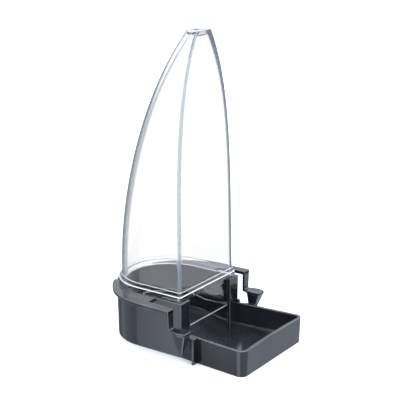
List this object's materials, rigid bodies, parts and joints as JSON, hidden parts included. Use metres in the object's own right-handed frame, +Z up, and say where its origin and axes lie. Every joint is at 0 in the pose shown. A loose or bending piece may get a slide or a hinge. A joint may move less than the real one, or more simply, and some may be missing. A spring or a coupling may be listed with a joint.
{
  "type": "gravity seed hopper for a bird cage",
  "caption": "Bird-cage gravity feeder: dark grey base with open feed tray, cup, collar and cage hooks, and a tall clear ogive seed hopper that lifts off for filling.",
  "frame": {"origin": "on the underside of the base, on the middle plane, below the front face of the window posts", "axes": "+Z up the hopper, -Y from the cup towards the feed tray, +X to the right as seen from the tray"},
  "size_m": [0.0936, 0.1153, 0.2],
  "materials": {
    "base_plastic": "injection-moulded, semi-gloss anthracite",
    "clear_plastic": "injection-moulded clear polystyrene, polished"
  },
  "bodies": {
    "base": {"base_floor": "base_plastic", "cup_ramp": "base_plastic", "cup_wall": "base_plastic", "window_post_left": "base_plastic", "window_post_right": "base_plastic", "tray_front_wall": "base_plastic", "tray_side_left": "base_plastic", "tray_side_right": "base_plastic", "collar_left": "base_plastic", "collar_right": "base_plastic", "hook_arm_left": "base_plastic", "hook_arm_right": "base_plastic", "hook_leg_left": "base_plastic", "hook_leg_right": "base_plastic", "hook_shelf_left": "base_plastic", "hook_shelf_right": "base_plastic", "hook_prong_left": "base_plastic", "hook_prong_right": "base_plastic", "wire_stop_left": "base_plastic", "wire_stop_right": "base_plastic", "corner_web_left": "base_plastic", "corner_web_right": "base_plastic"},
    "hopper": {"hopper_front_panel": "clear_plastic", "hopper_back_shell": "clear_plastic", "hopper_roof": "clear_plastic", "hopper_ledge": "clear_plastic", "hopper_skirt": "clear_plastic"}
  },
  "joints": [
    {"name": "hopper_lift", "type": "slide", "parent": "base", "child": "hopper", "axis": [0, 0, 1], "range_m": [0, 0.03]}
  ]
}
